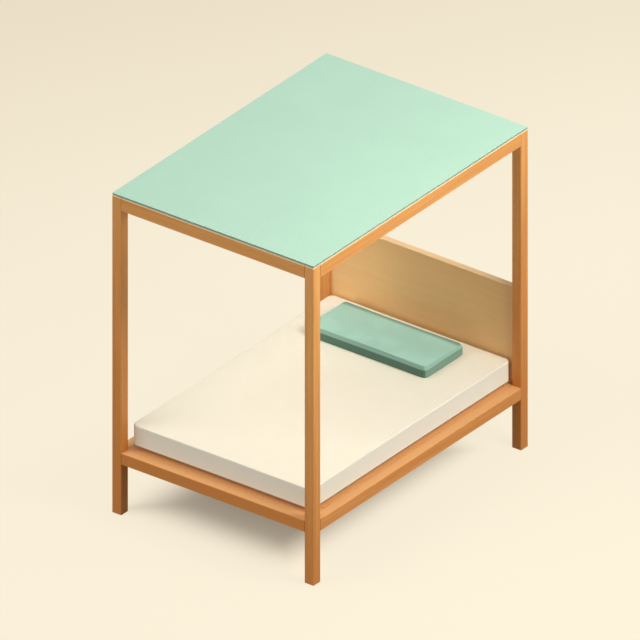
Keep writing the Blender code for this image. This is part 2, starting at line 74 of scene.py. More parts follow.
class Link:
    # one output of a node: arithmetic on it adds Math nodes, and add() puts in any other node
    def __init__(self, tree, socket):
        self.tree = tree
        self.socket = socket

    def add(self, kind, settings=None, inputs=None, output=0):
        node = self.tree.nodes.new("ShaderNode" + kind)
        for label, value in (settings or {}).items():
            setattr(node, label, value)
        for label, value in (inputs or {}).items():
            feed(self.tree, node.inputs[label], value)
        return Link(self.tree, node.outputs[output])

    def calc(self, operation, first, second=0.0):
        return self.add("Math", {"operation": operation}, {0: first, 1: second})

    def __add__(self, other):
        return self.calc("ADD", self, other)

    def __radd__(self, other):
        return self.calc("ADD", other, self)

    def __sub__(self, other):
        return self.calc("SUBTRACT", self, other)

    def __rsub__(self, other):
        return self.calc("SUBTRACT", other, self)

    def __mul__(self, other):
        return self.calc("MULTIPLY", self, other)

    def __rmul__(self, other):
        return self.calc("MULTIPLY", other, self)

    def __truediv__(self, other):
        return self.calc("DIVIDE", self, other)

    def __rtruediv__(self, other):
        return self.calc("DIVIDE", other, self)

    def __pow__(self, other):
        return self.calc("POWER", self, other)

    def __rpow__(self, other):
        return self.calc("POWER", other, self)

    def size(self):
        return self.calc("ABSOLUTE", self)

    def larger(self, other):
        return self.calc("MAXIMUM", self, other)

    def axis(self, which):
        # one part of a vector, by its letter or number
        return self.add("SeparateXYZ", None, {"Vector": self}, which)

    def smooth(self, low, high):
        # 0 below low, 1 above high, eased between
        settings = {"interpolation_type": "SMOOTHSTEP"}
        return self.add("MapRange", settings, {"Value": self, "From Min": low, "From Max": high})

    def mix(self, first, second):
        # colour that goes from the first to the second as this value goes from 0 to 1
        return self.add("Mix", {"data_type": "RGBA"}, {0: self, 6: first, 7: second}, 2)


def feed(tree, socket, value):
    if isinstance(value, Link):
        tree.links.new(value.socket, socket)
    else:
        socket.default_value = value


def startFinish(name, **constants):
    # new material; gives it, its Principled shader, and the Object coordinates as a link
    material = bpy.data.materials.new(name)
    material.use_nodes = True
    tree = material.node_tree
    shader = tree.nodes["Principled BSDF"]
    for label, value in constants.items():
        shader.inputs[label.replace("_", " ")].default_value = value
    places = tree.nodes.new("ShaderNodeTexCoord")
    return material, shader, Link(tree, places.outputs["Object"])


def dress(shader, place, colour=None, roughness=None, height=None, depth=0.001):
    # the varying values of a finish: colour, roughness, and a height that becomes a bump
    tree = place.tree
    if colour is not None:
        feed(tree, shader.inputs["Base Color"], colour)
    if roughness is not None:
        feed(tree, shader.inputs["Roughness"], roughness)
    if height is not None:
        bump = place.add("Bump", None, {"Strength": 1.0, "Distance": depth, "Height": height})
        feed(tree, shader.inputs["Normal"], bump)


def noise(place, scale, detail, roughness, stretch=None, shift=(0, 0, 0)):
    # cloudy value about 0.5; stretch multiplies each axis first, shift moves the pattern
    vector = place
    if stretch is not None:
        vector = place.add("Mapping", None, {"Vector": place, "Scale": stretch, "Location": shift})
    inputs = {"Vector": vector, "Scale": scale, "Detail": detail, "Roughness": roughness}
    return place.add("TexNoise", None, inputs)


def facing(place, which):
    # how far the surface's normal points along one axis, with its sign
    return place.add("NewGeometry", None, None, "Normal").axis(which)


def setMaterial(piece, material):
    piece.data.materials.clear()
    piece.data.materials.append(material)


# camera: a parallel view, placed so that one known corner of the deck falls on its pixel
cameraFacts = dict(
    azimuth=36.87,
    elevation=29.3,
    pixelsPerMetre=165.0,
    picture=640,
    cornerPixel=(112.0, 449.97),  # foot left corner of the frame, at the rails' top
    distance=9.0,
)


def makeCamera(facts):
    turn = math.radians(facts["azimuth"])
    lift = math.radians(facts["elevation"])
    back = Vector((math.sin(turn) * math.cos(lift), -math.cos(turn) * math.cos(lift), math.sin(lift)))
    right = Vector((math.cos(turn), math.sin(turn), 0.0))
    up = back.cross(right)
    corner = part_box("post_foot_left")[0].copy()
    corner.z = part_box("rail_foot")[1].z
    middle = facts["picture"] / 2
    across = (middle - facts["cornerPixel"][0]) / facts["pixelsPerMetre"]
    above = (facts["cornerPixel"][1] - middle) / facts["pixelsPerMetre"]
    data = bpy.data.cameras.new("camera")
    data.type = "ORTHO"
    data.ortho_scale = facts["picture"] / facts["pixelsPerMetre"]
    camera = bpy.data.objects.new("camera", data)
    bpy.context.scene.collection.objects.link(camera)
    camera.location = corner + right * across + up * above + back * facts["distance"]
    camera.rotation_mode = "QUATERNION"
    camera.rotation_quaternion = (-back).to_track_quat("-Z", "Y")
    bpy.context.scene.camera = camera
    print("camera placed")


makeCamera(cameraFacts)


# light: a large soft box to the right, a soft lamp from the left of the foot, two panels that fill
# the space under the canopy, a spot on the left of the headboard, and an even sky
lightFacts = dict(
    lampColour=(1.0, 0.98, 0.94),
    boxPlace=(5.9, 0.4, 5.95), boxAim=(0.0, 0.0, 1.0), boxSide=3.2, boxLevel=0.675,
    footPlace=(-0.50, -0.50, 2.04), footAim=(-0.60, -0.65, 0.60), footSide=0.9, footLevel=0.15,
    headPlace=(-0.30, 0.92, 2.04), headAim=(-0.30, 0.92, 1.10), headSide=0.6, headLevel=0.23,
    spotPlace=(-0.30, -2.60, 1.45), spotAim=(-0.54, 1.02, 0.78),
    spotWidth=15, spotRadius=0.20, spotLevel=0.18,
    leftWay=(-0.38, -0.60, 0.70), leftLevel=0.36, leftSpread=40,
    skyLevel=0.43, skyColour=(0.98, 1.0, 1.02),
    farColour=paint(250, 239, 216),
)


def placeLamp(name, data, way):
    # a lamp object that shines against the way
    lamp = bpy.data.objects.new(name, data)
    lamp.rotation_mode = "QUATERNION"
    lamp.rotation_quaternion = Vector(way).to_track_quat("Z", "Y")
    bpy.context.scene.collection.objects.link(lamp)
    return lamp


def hangLamp(name, data, place, way):
    # a lamp in a place of its own, which neither the camera nor a gloss sees
    lamp = placeLamp(name, data, way)
    lamp.location = place
    lamp.visible_camera = False
    lamp.visible_glossy = False


def addSun(name, way, level, spread, colour):
    # level is the brightness that it gives a white surface facing it
    data = bpy.data.lights.new(name, "SUN")
    data.energy = level * math.pi
    data.color = colour
    data.angle = math.radians(spread)
    placeLamp(name, data, way)


def addPanel(name, place, aim, side, level, colour):
    # power of an even square panel, from the brightness wanted at the point that it aims at
    way = Vector(place) - Vector(aim)
    data = bpy.data.lights.new(name, "AREA")
    data.size = side
    data.color = colour
    data.energy = level * math.pi ** 2 * way.length_squared
    hangLamp(name, data, place, way)


def addSpot(name, place, aim, width, radius, level, colour):
    # a cone that fades from its middle; power from the brightness wanted where it aims
    way = Vector(place) - Vector(aim)
    data = bpy.data.lights.new(name, "SPOT")
    data.spot_size = math.radians(width)
    data.spot_blend = 1.0
    data.shadow_soft_size = radius
    data.color = colour
    data.energy = level * 4 * math.pi ** 2 * way.length_squared
    hangLamp(name, data, place, way)


def seenRays(tree):
    # 1 for rays from the camera, from gloss and through glass, 0 for light that bounces
    rays = tree.nodes.new("ShaderNodeLightPath")
    kinds = ("Camera", "Glossy", "Transmission")
    parts = [Link(tree, rays.outputs[f"Is {kind} Ray"]) for kind in kinds]
    return parts[0].larger(parts[1]).larger(parts[2])


def picked(facts, stem, words):
    # the facts of one lamp, in the order of the words
    return [facts[stem + word] for word in words]


def makeLight(facts):
    colour = facts["lampColour"]
    addSun("leftLamp", *picked(facts, "left", ("Way", "Level", "Spread")), colour)
    for name in ("box", "foot", "head"):
        addPanel(name, *picked(facts, name, ("Place", "Aim", "Side", "Level")), colour)
    addSpot("spot", *picked(facts, "spot", ("Place", "Aim", "Width", "Radius", "Level")), colour)
    world = bpy.data.worlds.new("studio")
    bpy.context.scene.world = world
    world.use_nodes = True
    tree = world.node_tree
    seen = seenRays(tree)
    sky = tuple(facts["skyLevel"] * share for share in facts["skyColour"]) + (1.0,)
    feed(tree, tree.nodes["Background"].inputs["Color"], seen.mix(sky, facts["farColour"]))
    bpy.context.scene.view_settings.view_transform = "Standard"
    print("light set")


makeLight(lightFacts)


# floor: pale to the eye, duller for the light that it throws back
floorFacts = dict(
    halfSize=30.0,
    drop=0.0004,
    pale=paint(251, 240, 217),
    dim=paint(235, 223, 198),
    black=(0.0, 0.0, 0.0, 1.0),
    bounce=(0.21, 0.20, 0.18, 1.0),
    shadeMiddle=(-0.108, -0.07), shadeWider=0.028,  # the dark under the bed
    glowUnder=0.20, glowFar=0.90,  # share of the floor's colour that shadows leave untouched
    glowFrom=-0.45, glowTo=-0.05,  # distance from the shade's outline over which that share grows
    dimAcross=-0.92, dimAlong=0.56, dimFrom=2.0, dimTo=8.0,  # painted shade: the floor darkens far to the left and behind
)


def makeFloor(facts):
    reach = facts["halfSize"]
    corners = [(-reach, -reach), (reach, -reach), (reach, reach), (-reach, reach)]
    mesh = bpy.data.meshes.new("floor")
    mesh.from_pydata([(x, y, -facts["drop"]) for x, y in corners], [], [(0, 1, 2, 3)])
    floor = bpy.data.objects.new("floor", mesh)
    bpy.context.scene.collection.objects.link(floor)
    material, shader, place = startFinish("floorPaint", Roughness=1.0, Specular_IOR_Level=0.0)
    across, along = place.axis("X"), place.axis("Y")
    farness = across * facts["dimAcross"] + along * facts["dimAlong"]
    dimness = farness.smooth(facts["dimFrom"], facts["dimTo"])
    middle = facts["shadeMiddle"]
    half = [cadBox[1][0] + facts["shadeWider"], cadBox[1][1]]
    besides = [(part - mid).size() - size for part, mid, size in zip((across, along), middle, half)]
    outside = besides[0].larger(besides[1])
    spread = facts["glowFar"] - facts["glowUnder"]
    glow = outside.smooth(facts["glowFrom"], facts["glowTo"]) * spread + facts["glowUnder"]
    shown = dimness.mix(facts["pale"], facts["dim"])
    seen = seenRays(place.tree)
    lit = glow.mix(shown, facts["black"])
    glowing = (seen * glow).mix(facts["black"], shown)
    dress(shader, place, seen.mix(facts["bounce"], lit))
    feed(place.tree, shader.inputs["Emission Color"], glowing)
    shader.inputs["Emission Strength"].default_value = 1.0
    setMaterial(floor, material)
    print("floor laid")


makeFloor(floorFacts)


# timber: fibres, broad bands, growth rings and pores that run along one axis
timberFacts = dict(
    oiled=dict(
        light=paint(244, 177, 103), dark=paint(210, 133, 61), pore=paint(166, 96, 42),
        paintedTopLight=paint(240, 184, 126), eased=paint(255, 226, 182), bandShare=1.0, fleckShare=0.26,
    ),
    pale=dict(
        light=paint(238, 193, 136), dark=paint(228, 178, 116), pore=paint(190, 138, 84),
        paintedTopLight=paint(255, 216, 166), eased=paint(255, 230, 188), bandShare=0.7, fleckShare=0.16,
    ),
    slat=dict(
        light=paint(240, 208, 160), dark=paint(222, 186, 134), pore=paint(180, 136, 88),
        paintedTopLight=paint(236, 203, 154), eased=paint(242, 212, 166), bandShare=1.25, fleckShare=0.34,
    ),
    gloss=0.35,
    bandNoise=(34.0, 2.0, 0.55), fibreNoise=(520.0, 2.0, 0.6),  # scale, detail and roughness
    poreNoise=(900.0, 1.0, 0.5), slowNoise=(5.0, 1.0, 0.4),
    along=0.035,  # how much the pattern is drawn out along the grain
    shiftReach=4.0,  # how far each piece's pattern may be moved
    ringPitch=0.0062, ringBend=0.022,
    pithAway=(0.02, 0.09), pithAside=(-0.02, 0.05),  # where the rings' middle lies beside a piece
    lateFrom=0.35, lateTo=0.97,  # the dark part of a ring
    fibreShare=0.55, lateShare=0.16, middleTone=0.42,
    poreFrom=0.62, poreTo=0.74,
    slantFrom=0.45, slantTo=0.60, topFrom=0.80, topTo=0.95,  # how far up a chamfer and a top look
    paintedTopLightShare=0.7,  # painted highlight: share of a paler colour on faces that look up
    easing=0.8,  # painted highlight: share of a pale colour on the chamfers and top edges of these pieces
    easedStems=("post", "canopy_rail", "headboard"),
    postPaintedShade=0.9,  # painted shade: how much darker a post is at its foot than at its top
    edgeWidth=0.0045, wearAndHighlightShare=0.5, wearAndHighlightLeast=0.1,
    rough=0.50, roughFibre=0.25, roughLate=0.06, roughEdge=0.08,
    reliefFibre=0.6, reliefLate=0.5, reliefDepth=0.0004,
    toneSpread=0.10,
    paintedLightAndShadeOf=dict(  # boards painted paler or darker, as painted light and painted shade
        canopy_rail_foot=-0.16, canopy_rail_right=0.02, rail_foot=0.60, rail_right=0.28,
        post_head_right=0.40, post_foot_left=0.40, post_foot_right=0.06,
    ),
)
draws = np.random.default_rng(11)


def timberFinish(name, facts, tones, grain, low, high):
    # rings are even shells about a pith line beside the piece, bent by slow noise
    material, shader, place = startFinish(name, Specular_IOR_Level=facts["gloss"])
    reach, spread = facts["shiftReach"], facts["toneSpread"]
    shift = tuple(draws.uniform(-reach, reach, 3))
    tone = facts["middleTone"] + draws.uniform(-spread, spread)
    # painted light and shade: some boards are made paler or darker
    tone += sum(lean for stem, lean in facts["paintedLightAndShadeOf"].items() if name.startswith(stem))
    stretch = [1.0, 1.0, 1.0]
    stretch[grain] = facts["along"]
    layers = ("bandNoise", "fibreNoise", "poreNoise", "slowNoise")
    bands, fibres, pores, slow = (noise(place, *facts[layer], stretch, shift) for layer in layers)
    axes = [axis for axis in range(3) if axis != grain]
    parts = [place.axis(axis) for axis in axes]
    away = draws.uniform(*facts["pithAway"])
    aside = draws.uniform(*facts["pithAside"])
    pith = [low[axes[0]] - away, low[axes[1]] + aside]
    squares = [(part - centre) ** 2 for part, centre in zip(parts, pith)]
    radius = (squares[0] + squares[1]) ** 0.5 + slow * facts["ringBend"]
    rings = place.calc("FRACT", radius / facts["ringPitch"])
    late = rings.smooth(facts["lateFrom"], 1.0) * (1 - rings.smooth(facts["lateTo"], 1.0))
    field = (bands - 0.5) * tones["bandShare"] + (fibres - 0.5) * facts["fibreShare"]
    field = field + late * facts["lateShare"] + tone
    if name.startswith("post"):  # painted shade: darker towards its foot, paler towards its top
        field = field + (0.5 - place.axis("Z") / high[2]) * facts["postPaintedShade"]
    upward = facing(place, "Z")
    onTop = upward.smooth(facts["topFrom"], facts["topTo"])
    body = field.mix(tones["light"], tones["dark"])
    # painted highlight: faces that look up are painted paler
    body = (onTop * facts["paintedTopLightShare"]).mix(body, tones["paintedTopLight"])
    # painted highlight along the upward chamfers and top edges
    if name.startswith(facts["easedStems"]):
        chamferHighlightMask = upward.smooth(facts["slantFrom"], facts["slantTo"]) * (1 - onTop)
        body = (chamferHighlightMask * facts["easing"]).mix(body, tones["eased"])
    flecks = pores.smooth(facts["poreFrom"], facts["poreTo"]) * tones["fleckShare"]
    half = [(high[axis] - low[axis]) / 2 for axis in axes]
    middle = [(high[axis] + low[axis]) / 2 for axis in axes]
    inside = [size - (part - mid).size() for part, mid, size in zip(parts, middle, half)]
    edge = 1 - inside[0].larger(inside[1]).smooth(0.0, facts["edgeWidth"])
    # wear along the edges, which also serves as a painted highlight on the arrises: paler towards the
    # light colour
    wearAndHighlight = edge * (bands * facts["wearAndHighlightShare"] + facts["wearAndHighlightLeast"])
    colour = wearAndHighlight.mix(flecks.mix(body, tones["pore"]), tones["light"])
    roughness = (fibres - 0.5) * facts["roughFibre"] + late * facts["roughLate"]
    roughness = roughness + facts["rough"] - edge * facts["roughEdge"]
    relief = fibres * facts["reliefFibre"] + late * facts["reliefLate"] - flecks
    dress(shader, place, colour, roughness, relief, facts["reliefDepth"])
    return material


grainOf = dict(  # axis along which each piece's grain runs
    post=2, rail_left=1, rail_right=1, rail_foot=0, rail_head=0, headboard=0, slat=0,
    canopy_rail_left=1, canopy_rail_right=1, canopy_rail_foot=0, canopy_rail_head=0,
    ledge_left=1, ledge_right=1, ledge_foot=0, ledge_head=0, centre_beam=1, centre_leg=2,
    batten_left=1, batten_right=1, batten_foot=0, batten_head=0, cross_bar=0, canopy_pin=2,
)
timberOf = dict(oiled_timber="oiled", pale_timber="pale", slat_timber="slat")


def dressTimber(facts):
    count = 0
    for part in subparts:
        name = part["node"]
        kind = timberOf.get(part["material_slot"])
        if kind is None:
            continue
        stems = [stem for stem in grainOf if name.startswith(stem)]
        grain = grainOf[max(stems, key=len)]
        finish = timberFinish(name + "_wood", facts, facts[kind], grain, *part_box(name))
        setMaterial(nodes[name], finish)
        count += 1
    print("timber dressed:", count, "pieces")


dressTimber(timberFacts)


# soft pieces start as the skin of a box on a grid, which is then bent into form
boxSides = [(0, -1), (0, 1), (1, -1), (1, 1), (2, -1), (2, 1)]  # axis and end of each face


def boxOf(name):
    # lowest and highest corner of a CAD node's box
    return [np.array(corner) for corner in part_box(name)]


def planOf(low, high):
    # middle and half size of a box seen from above
    return (low + high)[:2] / 2, (high - low)[:2] / 2


def rimLines(low, high, rim, count):
    # grid places along one axis: the rim's own steps at both ends, even steps between them
    between = np.linspace(low + rim[-1], high - rim[-1], count + 1)
    return np.concatenate([low + rim[:-1], between, high - rim[-2::-1]])


def boxSkin(lines, sides):
    # each face is a grid over two of the three sets of lines; points that faces share are merged
    steps = [len(line) for line in lines]
    quads = []
    for axis, end in sides:
        first, second = (axis + 1) % 3, (axis + 2) % 3
        grid = np.zeros((steps[first], steps[second], 3), int)
        grid[..., first] = np.arange(steps[first])[:, None]
        grid[..., second] = np.arange(steps[second])[None, :]
        grid[..., axis] = steps[axis] - 1 if end > 0 else 0
        code = (grid[..., 0] * steps[1] + grid[..., 1]) * steps[2] + grid[..., 2]
        corners = [code[:-1, :-1], code[1:, :-1], code[1:, 1:], code[:-1, 1:]]
        quad = np.stack(corners, -1).reshape(-1, 4)
        quads.append(quad if end > 0 else quad[:, ::-1])
    used, faces = np.unique(np.concatenate(quads), return_inverse=True)
    spots = np.unravel_index(used, steps)
    places = np.stack([line[spot] for line, spot in zip(lines, spots)], -1)
    return places, faces.reshape(-1, 4)


def roundPlan(places, middle, half, radius):
    # the square rings of each corner become arcs: core point, way outwards, and reach along it
    flat = places[:, :2] - middle
    core = np.clip(flat, radius - half, half - radius)
    out = flat - core
    reach = np.abs(out).max(axis=1)
    way = out / np.maximum(np.hypot(out[:, 0], out[:, 1]), tiny)[:, None]
    return core, way, reach


def roundOver(first, second, radius):
    # a square edge becomes a quarter circle: how far each of the two distances shrinks
    over = [np.clip(value, 0, radius) for value in (first, second)]
    longest = np.maximum(over[0], over[1])
    share = longest / np.maximum(np.hypot(over[0], over[1]), tiny)
    return over[0] * (1 - share), over[1] * (1 - share)


def drawnIn(flat, way, half, depth):
    # sides pull in midway between the corners, as a half wave along each side
    wave = np.cos(np.pi / 2 * np.clip(flat / half, -1, 1))
    return depth * (way[:, 1] ** 2 * wave[:, 0] + way[:, 0] ** 2 * wave[:, 1])


def makePiece(name, points, faces, material):
    mesh = bpy.data.meshes.new(name)
    mesh.from_pydata(points.tolist(), [], faces.tolist())
    mesh.shade_smooth()
    piece = bpy.data.objects.new(name, mesh)
    bpy.context.scene.collection.objects.link(piece)
    setMaterial(piece, material)
    return piece


def roundedOutline(middle, half, radius, arcSteps, sideSteps):
    # points and outward ways round a rounded rectangle: four quarter circles and straight runs
    arc = np.linspace(0, np.pi / 2, arcSteps)
    points, ways = [], []
    for quarter in range(4):
        turn = arc + quarter * np.pi / 2
        way = np.stack([np.cos(turn), np.sin(turn)], -1)
        sign = np.sign(way.mean(axis=0))
        points.append(sign * (half - radius) + way * radius)
        ways.append(way)
    runs = []
    for number in range(4):
        start, end = points[number][-1], points[(number + 1) % 4][0]
        share = np.linspace(0, 1, sideSteps + 2)[1:-1, None]
        runs.append(start + (end - start) * share)
    pieces = [part for pair in zip(points, runs) for part in pair]
    edgeWays = [np.repeat(way[-1:], sideSteps, axis=0) for way in ways]
    outs = [part for pair in zip(ways, edgeWays) for part in pair]
    return middle + np.concatenate(pieces), np.concatenate(outs)


def tubeRound(path, ways, height, radius, count):
    # a circle carried along a closed flat path: out along the way by the cosine, up by the sine
    turn = np.arange(count) * 2 * np.pi / count
    flat = path[:, None, :] + ways[:, None, :] * (radius * np.cos(turn))[None, :, None]
    rise = np.broadcast_to(height + radius * np.sin(turn), flat.shape[:2])
    points = np.concatenate([flat, rise[..., None]], -1).reshape(-1, 3)
    ring = np.arange(len(path))[:, None]
    step = np.arange(count)[None, :]
    code = ring * count + step
    ahead = np.roll(code, -1, axis=0)
    quads = [code, ahead, np.roll(ahead, -1, axis=1), np.roll(code, -1, axis=1)]
    return points, np.stack(quads, -1).reshape(-1, 4)


clothFacts = dict(
    shine=dict(Specular_IOR_Level=0.2, Sheen_Roughness=0.5),
    faceFrom=0.5, faceTo=0.8,  # how far a face looks along an axis to take its threads
)


def startCloth(name, facts):
    # a cloth's material, shader and place, with its threads, slubs and clouds
    sheen = facts["sheen"]
    material, shader, place = startFinish(name, Sheen_Weight=sheen, **clothFacts["shine"])
    slubs = noise(place, *facts["slubNoise"])
    clouds = noise(place, *facts["cloudNoise"])
    return material, shader, place, weave(place, facts["threadPitch"]), slubs, clouds


def weave(place, pitch):
    # threads along the two axes that a face lies in, by how far its normal points along the third
    turns = 2 * math.pi / pitch
    waves, faced = [], []
    for axis in range(3):
        waves.append(place.calc("SINE", place.axis(axis) * turns))
        look = facing(place, axis).size()
        faced.append(look.smooth(clothFacts["faceFrom"], clothFacts["faceTo"]))
    pairs = [waves[1] * waves[2], waves[2] * waves[0], waves[0] * waves[1]]
    return faced[0] * pairs[0] + faced[1] * pairs[1] + faced[2] * pairs[2]


# mattress: a foam block in a knitted cover, with a welt along its lower seam, coloured dark as painted
# shadow under the mattress
mattressFacts = dict(
    cornerRadius=0.040,
    edgeRadius=0.008,
    baseRadius=0.004,
    crown=0.004, crownPower=4,
    waist=0.003,
    unevenness=0.0008, rippleTurns=(7.3, 5.1, 9.7), rippleStarts=(1.1, -0.4),
    clear=0.0012,  # above the slats, for the screw heads
    edgeSteps=7, cornerSteps=5, gridSteps=(64, 96, 10),
    weltRadius=0.004,
    weltRise=0.0042,
    weltInset=0.002,  # its middle line, inside the cover's side
    weltSteps=(13, 40),  # points of a corner and of a side
    weltRound=10,
    threadPitch=0.0026, sheen=0.15,
    slubNoise=(180.0, 2.0, 0.6), cloudNoise=(6.0, 3.0, 0.55),
    cloudShare=0.35, slubShare=0.65, threadShare=0.10, toneFrom=0.2, toneTo=0.8,
    topFrom=0.4, topTo=0.8,  # how far up the cover looks where its border ends
    rough=0.82, roughSlub=0.12, reliefThread=0.5, reliefSlub=0.6, reliefDepth=0.0005,
    light=paint(250, 241, 221),
    dark=paint(245, 235, 213),
    paintedLightBorder=paint(255, 250, 233),
    paintedLightBorderDark=paint(250, 244, 226),
    weltShadowLight=paint(168, 154, 122),
    weltShadowDark=paint(146, 132, 104),
    tapeFrom=0.3, tapeTo=0.7, tapeRough=0.84, tapeRoughSlub=0.1, tapeDepth=0.0004,
)


def mattressFinish(facts):
    # a knitted top and a whiter border, told apart by how far the normal points up; the border's
    # whiteness is partly painted light on the sides
    material, shader, place, threads, slubs, clouds = startCloth("mattressCover", facts)
    field = clouds * facts["cloudShare"] + slubs * facts["slubShare"] - threads * facts["threadShare"]
    field = field.smooth(facts["toneFrom"], facts["toneTo"])
    upward = facing(place, "Z").size().smooth(facts["topFrom"], facts["topTo"])
    top = field.mix(facts["light"], facts["dark"])
    # partly painted light: the sides take a whiter colour
    border = field.mix(facts["paintedLightBorder"], facts["paintedLightBorderDark"])
    roughness = slubs * facts["roughSlub"] + facts["rough"]
    relief = threads * facts["reliefThread"] + slubs * facts["reliefSlub"]
    dress(shader, place, upward.mix(border, top), roughness, relief, facts["reliefDepth"])
    return material


# painted shadow: the welt's dark colour stands for the shade in the gap under the mattress
def weltShadowFinish(facts):
    material, shader, place = startFinish("weltPaintedShadow", Sheen_Weight=facts["sheen"], **clothFacts["shine"])
    slubs = noise(place, *facts["slubNoise"])
    tone = slubs.smooth(facts["tapeFrom"], facts["tapeTo"])
    colour = tone.mix(facts["weltShadowLight"], facts["weltShadowDark"])
    roughness = slubs * facts["tapeRoughSlub"] + facts["tapeRough"]
    dress(shader, place, colour, roughness, slubs, facts["tapeDepth"])
    return material


def mattressForm(facts, low, high):
    # a box whose edges and corners are round, with drawn-in sides and a crown on its top
    middle, half = planOf(low, high)
    corner, widest = facts["cornerRadius"], facts["edgeRadius"]
    edgeRim = np.linspace(0, widest, facts["edgeSteps"])
    rim = np.concatenate([edgeRim, np.linspace(widest, corner, facts["cornerSteps"])[1:]])
    bottom = low[2] + facts["clear"]
    centre = (bottom + high[2]) / 2
    tall = (high[2] - bottom) / 2
    across, along, upwards = facts["gridSteps"]
    lines = [rimLines(low[0], high[0], rim, across), rimLines(low[1], high[1], rim, along)]
    lines.append(rimLines(bottom, high[2], edgeRim, upwards))
    places, faces = boxSkin(lines, boxSides)
    core, way, reach = roundPlan(places, middle, half, corner)
    up = places[:, 2] - centre
    edge = np.where(up > 0, widest, facts["baseRadius"])
    inward, downward = roundOver(reach - (corner - edge), np.abs(up) - (tall - edge), edge)
    flat = places[:, :2] - middle
    pull = drawnIn(flat, way, half, facts["waist"]) * reach / corner
    plan = core + way * (reach - inward - pull)[:, None]
    rise = up - np.sign(up) * downward
    bulge = np.prod(1 - (plan / half) ** facts["crownPower"], axis=1)
    topShare = np.clip(rise / tall, 0, 1)
    rise = rise - facts["crown"] * (1 - bulge) * topShare
    turns, starts = facts["rippleTurns"], facts["rippleStarts"]
    ripple = np.sin(plan[:, 0] * turns[0] + starts[0]) * np.cos(plan[:, 1] * turns[1] + starts[1])
    ripple = ripple + np.sin(plan[:, 1] * turns[2])
    rise = rise + facts["unevenness"] * (ripple / 2 - 1) * bulge * topShare
    points = np.concatenate([plan + middle, (rise + centre)[:, None]], -1)
    return points, faces


def makeMattress(facts):
    low, high = boxOf("mattress")
    mattress = makePiece("mattress_cover", *mattressForm(facts, low, high), mattressFinish(facts))
    middle, half = planOf(low, high)
    path, ways = roundedOutline(middle, half, facts["cornerRadius"], *facts["weltSteps"])
    inset = drawnIn(path - middle, ways, half, facts["waist"]) + facts["weltInset"]
    path = path - ways * inset[:, None]
    height = low[2] + facts["clear"] + facts["weltRise"]
    tube = tubeRound(path, ways, height, facts["weltRadius"], facts["weltRound"])
    welt = makePiece("mattress_welt", *tube, weltShadowFinish(facts))
    for piece in (mattress, welt):
        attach(piece, "mattress")
    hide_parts("mattress")
    print("mattress made")


makeMattress(mattressFacts)


# pillow: a box pillow with a sloping border round its top panel, swollen by inner pressure
pillowFacts = dict(
    cornerRadius=0.036,
    swellRoom=0.004,  # how much smaller the form starts than the CAD pillow
    gusset=0.050,
    border=0.015,
    borderRise=0.024,
    backDrop=0.008,  # the top panel falls towards the headboard
    crown=0.002,
    waist=0.005,
    seamStep=0.003,
    seamDepth=0.0012,
    slopeSteps=4, gridSteps=(84, 32, 6),
    pressure=0.12,
    frames=20,
    cap=0.006,  # how far the pressure may move a point
    threadPitch=0.0022, sheen=0.2,
    slubNoise=(200.0, 2.0, 0.6), cloudNoise=(5.0, 2.0, 0.5),
    top=paint(168, 211, 192),
    topLit=paint(177, 221, 202), litFrom=0.35, litTo=0.7,
    # painted shade and light: the border's slope is darker at the front and back, paler at the ends
    slope=paint(139, 174, 157),
    endSlope=paint(158, 199, 181), endSlopeFrom=0.3, endSlopeTo=0.6,
    paintedBackShade=paint(112, 156, 138),
    backShadeFrom=0.068,  # distances from the back over which the painted shade comes in
    backShadeTo=0.026,
    # the gusset is a darker cloth and also painted shade at the front and back; its ends are painted
    # paler as painted light
    side=paint(83, 117, 100),
    end=paint(123, 158, 139), endFrom=0.6, endTo=0.8,
    seamSoft=0.0015, panelSoft=0.001,  # half of the width over which a colour changes at a seam
    shadeSlub=0.5, shadeThread=0.08, shadeShare=0.22,
    stitchAway=0.004, stitchFrom=0.0003, stitchTo=0.0009,  # a row of stitches beside the seam
    rough=0.84, roughSlub=0.1, reliefThread=0.5, reliefSlub=0.5, reliefDepth=0.0005,
    cordRadius=0.003,
    cordRound=10,
    cordSeam=0.020,  # puts the cord in the panel's colour
)


def pillowForm(facts, low, high):
    # upright sides to the gusset's height, then a slope to the top panel, which falls to the back
    # in a straight line and has a crown
    middle, half = planOf(low, high)
    corner, border, seam = facts["cornerRadius"], facts["border"], facts["seamStep"]
    gusset = low[2] + facts["gusset"]
    across, along, upwards = facts["gridSteps"]
    slope = np.linspace(seam, border - seam, facts["slopeSteps"])
    rim = np.concatenate([[0.0], slope, [border, border + seam, corner]])
    lines = [rimLines(low[0], high[0], rim, across), rimLines(low[1], high[1], rim, along)]
    rows = np.linspace(low[2] + seam, gusset - seam, upwards)
    lines.append(np.concatenate([[low[2]], rows, [gusset]]))
    places, faces = boxSkin(lines, boxSides)
    core, way, reach = roundPlan(places, middle, half, corner)
    flat = places[:, :2] - middle
    inset = (half - np.abs(flat)).min(axis=1)
    above = places[:, 2] > gusset - near
    tilt = facts["backDrop"] * (1 + flat[:, 1] / half[1]) / 2
    rise = (facts["borderRise"] - tilt) * np.clip(inset / border, 0, 1)
    panel = np.clip((inset - border) / (half[1] - border), 0, 1)
    rise = rise + facts["crown"] * (1 - (1 - panel) ** 2)
    share = (places[:, 2] - low[2]) / facts["gusset"]
    pull = drawnIn(flat, way, half, facts["waist"]) * share * reach / corner
    plan = core + way * (reach - pull)[:, None]
    points = np.concatenate([plan + middle, (places[:, 2] + rise * above)[:, None]], -1)
    fromSeam = np.where(above, inset, places[:, 2] - gusset)
    return points, faces, fromSeam, places[:, 2] < low[2] + near


def readVectors(items, label):
    # one vector of each of a mesh's items, as rows
    flat = np.empty(len(items) * 3)
    items.foreach_get(label, flat)
    return flat.reshape(-1, 3)


